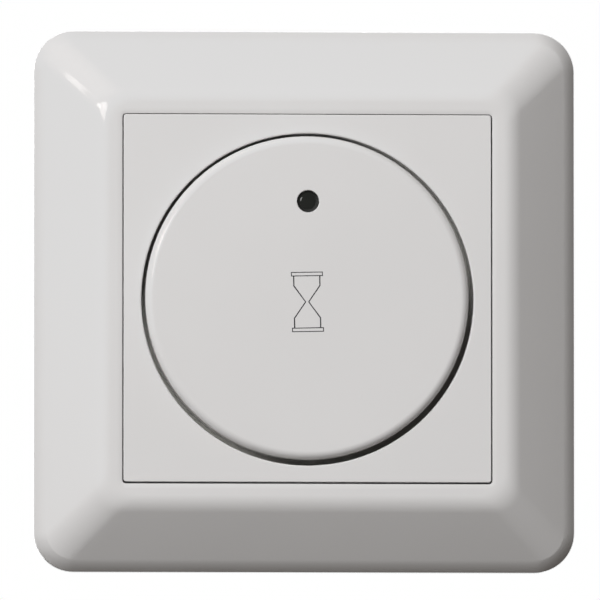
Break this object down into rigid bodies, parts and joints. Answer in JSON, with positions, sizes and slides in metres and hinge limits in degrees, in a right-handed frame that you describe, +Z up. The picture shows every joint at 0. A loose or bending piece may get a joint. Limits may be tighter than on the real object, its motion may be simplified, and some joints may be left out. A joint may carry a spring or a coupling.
{
  "type": "timer light switch",
  "caption": "Square wall switch with timer: bevelled cover frame, flush centre plate, large round push button with indicator lens, and wall-box insert with claws and screw terminals.",
  "frame": {"origin": "centre of the wall-box screw pattern, on the wall plane at the back of the yoke", "axes": "+X right and +Z up as seen from the room, +Y into the wall, so the button faces -Y"},
  "size_m": [0.081, 0.0374, 0.081],
  "materials": {
    "cover_plastic": "glossy moulded off-white",
    "lens_smoked": "smoked, polished",
    "carrier_plastic": "moulded, unpolished",
    "spring_steel": "drawn wire",
    "zinc_steel": "zinc plated sheet and screws",
    "housing_plastic": "moulded, fine grain",
    "board": "solder resist",
    "black_plastic": "moulded black",
    "white_plastic": "moulded white",
    "lamp": "tinted clear",
    "blue_plastic": "moulded blue",
    "yellow_plastic": "moulded ochre box",
    "sleeve_plastic": "shrunk sleeve",
    "fuse_ceramic": "pale fired body",
    "resistor_coat": "dipped coat",
    "brass": "bright",
    "terminal_plastic": "moulded pale grey"
  },
  "bodies": {
    "base": {"cover_frame": "cover_plastic", "centre_plate": "cover_plastic", "button_carrier": "carrier_plastic", "return_springs": "spring_steel", "mounting_yoke": "zinc_steel", "yoke_screws": "zinc_steel", "rear_housing": "housing_plastic", "housing_lid": "housing_plastic", "control_board": "board", "switch_body": "black_plastic", "indicator_led": "lamp", "trimmer_body": "blue_plastic", "controller_chip": "black_plastic", "relay": "blue_plastic", "dropper_capacitor": "yellow_plastic", "smoothing_capacitor": "sleeve_plastic", "varistor": "blue_plastic", "fuse": "fuse_ceramic", "resistors": "resistor_coat", "rectifier_diodes": "black_plastic", "contact_bars": "brass", "terminal_modules": "terminal_plastic"},
    "button": {"push_button": "cover_plastic", "indicator_lens": "lens_smoked"},
    "plunger": {"switch_plunger": "white_plastic"},
    "time_rotor": {"trimmer_rotor": "white_plastic"},
    "screw_1": {"terminal_screw_1": "zinc_steel"},
    "cage_1": {"clamp_cage_1": "brass"},
    "screw_2": {"terminal_screw_2": "zinc_steel"},
    "cage_2": {"clamp_cage_2": "brass"},
    "screw_3": {"terminal_screw_3": "zinc_steel"},
    "cage_3": {"clamp_cage_3": "brass"},
    "left_claw": {"claw_left": "zinc_steel"},
    "left_claw_screw": {"claw_screw_left": "zinc_steel"},
    "right_claw": {"claw_right": "zinc_steel"},
    "right_claw_screw": {"claw_screw_right": "zinc_steel"}
  },
  "joints": [
    {"name": "button_press", "type": "slide", "parent": "base", "child": "button", "axis": [0, 1, 0], "range_m": [0, 0.0012], "stiffness_N_per_m": 800, "springref_m": -0.002, "deforming": ["return_springs"]},
    {"name": "plunger_press", "type": "slide", "parent": "base", "child": "plunger", "axis": [0, 1, 0], "range_m": [0, 0.0012]},
    {"name": "time_setting", "type": "hinge", "parent": "base", "child": "time_rotor", "pos_m": [0.0112, 0.0028, -0.0094], "axis": [0, 1, 0], "range_deg": [-135, 135]},
    {"name": "screw_1_turn", "type": "hinge", "parent": "base", "child": "screw_1", "pos_m": [-0.0073, 0.0214, -0.0195], "axis": [0, 0, 1], "range_deg": [0, 1728]},
    {"name": "cage_1_rise", "type": "slide", "parent": "base", "child": "cage_1", "axis": [0, 0, -1], "range_m": [0, 0.0024]},
    {"name": "screw_2_turn", "type": "hinge", "parent": "base", "child": "screw_2", "pos_m": [0, 0.0214, -0.0195], "axis": [0, 0, 1], "range_deg": [0, 1728]},
    {"name": "cage_2_rise", "type": "slide", "parent": "base", "child": "cage_2", "axis": [0, 0, -1], "range_m": [0, 0.0024]},
    {"name": "screw_3_turn", "type": "hinge", "parent": "base", "child": "screw_3", "pos_m": [0.0073, 0.0214, -0.0195], "axis": [0, 0, 1], "range_deg": [0, 1728]},
    {"name": "cage_3_rise", "type": "slide", "parent": "base", "child": "cage_3", "axis": [0, 0, -1], "range_m": [0, 0.0024]},
    {"name": "left_claw_swing", "type": "hinge", "parent": "base", "child": "left_claw", "pos_m": [-0.0246, 0.0017, 0.0075], "axis": [0, 0, 1], "range_deg": [0, 10]},
    {"name": "left_claw_screw_turn", "type": "hinge", "parent": "left_claw", "child": "left_claw_screw", "pos_m": [-0.0246, 0, 0.0075], "axis": [0, 1, 0], "range_deg": [0, 1440]},
    {"name": "right_claw_swing", "type": "hinge", "parent": "base", "child": "right_claw", "pos_m": [0.0246, 0.0017, -0.0075], "axis": [0, 0, -1], "range_deg": [0, 10]},
    {"name": "right_claw_screw_turn", "type": "hinge", "parent": "right_claw", "child": "right_claw_screw", "pos_m": [0.0246, 0, -0.0075], "axis": [0, 1, 0], "range_deg": [0, 1440]}
  ],
  "couplings": [
    {"joint": "plunger_press", "follows": "button_press", "ratio": 1},
    {"joint": "screw_1_turn", "follows": "cage_1_rise", "rad_per_m": 12566},
    {"joint": "screw_2_turn", "follows": "cage_2_rise", "rad_per_m": 12566},
    {"joint": "screw_3_turn", "follows": "cage_3_rise", "rad_per_m": 12566},
    {"joint": "left_claw_swing", "follows": "left_claw_screw_turn", "ratio": 0.006944},
    {"joint": "right_claw_swing", "follows": "right_claw_screw_turn", "ratio": 0.006944}
  ]
}
